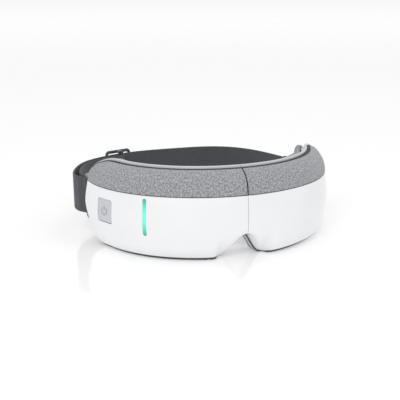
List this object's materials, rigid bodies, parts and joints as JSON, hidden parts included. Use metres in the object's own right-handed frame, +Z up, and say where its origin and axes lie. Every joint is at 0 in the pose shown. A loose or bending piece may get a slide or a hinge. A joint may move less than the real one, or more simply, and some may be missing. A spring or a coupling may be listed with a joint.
{
  "type": "eye massager mask",
  "caption": "Folding eye massager mask with white front shells, fabric trim, face cushions, power button, light bar and elastic head strap.",
  "frame": {"origin": "on the resting plane, straight below the fold axis at the nose bridge", "axes": "+Z up, +X to the viewer's right when the mask is seen from its front, +Y from the front shell towards the wearer and the rear of the strap"},
  "size_m": [0.2113, 0.1935, 0.0709],
  "materials": {
    "white_shell": "high gloss",
    "heather_fabric": "heather knit",
    "trim_carrier": "moulded, matte",
    "rim_plastic": "fine satin",
    "cushion_skin": "soft grained synthetic leather",
    "bladder_film": "translucent film",
    "heating_film": "polyimide film",
    "speaker": "moulded, matte",
    "motor_can": "drawn can",
    "steel": "brushed",
    "ribbon_cable": "flexible printed cable",
    "tube_silicone": "translucent silicone",
    "circuit_board": "solder mask",
    "light_lens": "diffusing lens, lit",
    "switch_body": "moulded, matte",
    "webbing": "woven elastic webbing",
    "battery_foil": "foil pouch",
    "button_cap": "satin gloss",
    "massage_plate": "moulded rubber",
    "weight_metal": "sintered metal",
    "slider_plastic": "moulded, satin"
  },
  "bodies": {
    "left_half": {"front_shell_left": "white_shell", "trim_carrier_left": "trim_carrier", "fabric_cover_left": "heather_fabric", "inner_housing_left": "rim_plastic", "face_cushion_left": "cushion_skin", "air_bladder_left": "bladder_film", "heating_film_left": "heating_film", "speaker_left": "speaker", "vibration_motor_left": "motor_can", "hinge_leaf_left": "steel", "hinge_pin": "steel", "hinge_screws_left": "steel", "housing_screws_left": "steel", "nose_gusset": "cushion_skin", "ribbon_cable": "ribbon_cable", "air_tube_bridge": "tube_silicone", "air_tube_left": "tube_silicone", "main_board": "circuit_board", "light_bar": "light_lens", "light_board": "circuit_board", "tact_switch": "switch_body", "charging_socket": "steel", "strap_anchor_left": "rim_plastic", "elastic_strap": "webbing"},
    "right_half": {"front_shell_right": "white_shell", "trim_carrier_right": "trim_carrier", "fabric_cover_right": "heather_fabric", "inner_housing_right": "rim_plastic", "face_cushion_right": "cushion_skin", "air_bladder_right": "bladder_film", "heating_film_right": "heating_film", "speaker_right": "speaker", "vibration_motor_right": "motor_can", "hinge_leaf_right": "steel", "hinge_screws_right": "steel", "housing_screws_right": "steel", "air_tube_right": "tube_silicone", "battery_pack": "battery_foil", "air_pump": "motor_can", "air_valves": "switch_body", "strap_anchor_right": "rim_plastic"},
    "power_key": {"power_button": "button_cap", "switch_plunger": "switch_body"},
    "massage_left": {"massage_plate_left": "massage_plate"},
    "massage_right": {"massage_plate_right": "massage_plate"},
    "weight_left": {"eccentric_weight_left": "weight_metal"},
    "weight_right": {"eccentric_weight_right": "weight_metal"},
    "strap_slider": {"strap_slider": "slider_plastic"}
  },
  "joints": [
    {"name": "fold", "type": "hinge", "parent": "left_half", "child": "right_half", "pos_m": [0, 0, 0.043], "axis": [0, 0, 1], "range_deg": [0, 90], "deforming": ["elastic_strap", "nose_gusset", "ribbon_cable", "air_tube_bridge"]},
    {"name": "power_press", "type": "slide", "parent": "left_half", "child": "power_key", "axis": [0.9175, 0.3976, 0], "range_m": [0, 0.0008]},
    {"name": "massage_left", "type": "slide", "parent": "left_half", "child": "massage_left", "axis": [0.4083, 0.9129, 0], "range_m": [0, 0.0024]},
    {"name": "massage_right", "type": "slide", "parent": "right_half", "child": "massage_right", "axis": [-0.4083, 0.9129, 0], "range_m": [0, 0.0024]},
    {"name": "weight_left_spin", "type": "hinge", "parent": "left_half", "child": "weight_left", "pos_m": [-0.01876, -0.00962, 0.0575], "axis": [-0.9818, 0.1897, 0], "continuous": true},
    {"name": "weight_right_spin", "type": "hinge", "parent": "right_half", "child": "weight_right", "pos_m": [0.01876, -0.00962, 0.0575], "axis": [0.9818, 0.1897, 0], "continuous": true},
    {"name": "strap_adjust", "type": "hinge", "parent": "left_half", "child": "strap_slider", "pos_m": [-0.0136, 0.0526, 0.036], "axis": [0, 0, 1], "range_deg": [-13, 9], "deforming": ["elastic_strap"]}
  ],
  "couplings": [
    {"joint": "massage_right", "follows": "massage_left", "ratio": 1}
  ]
}
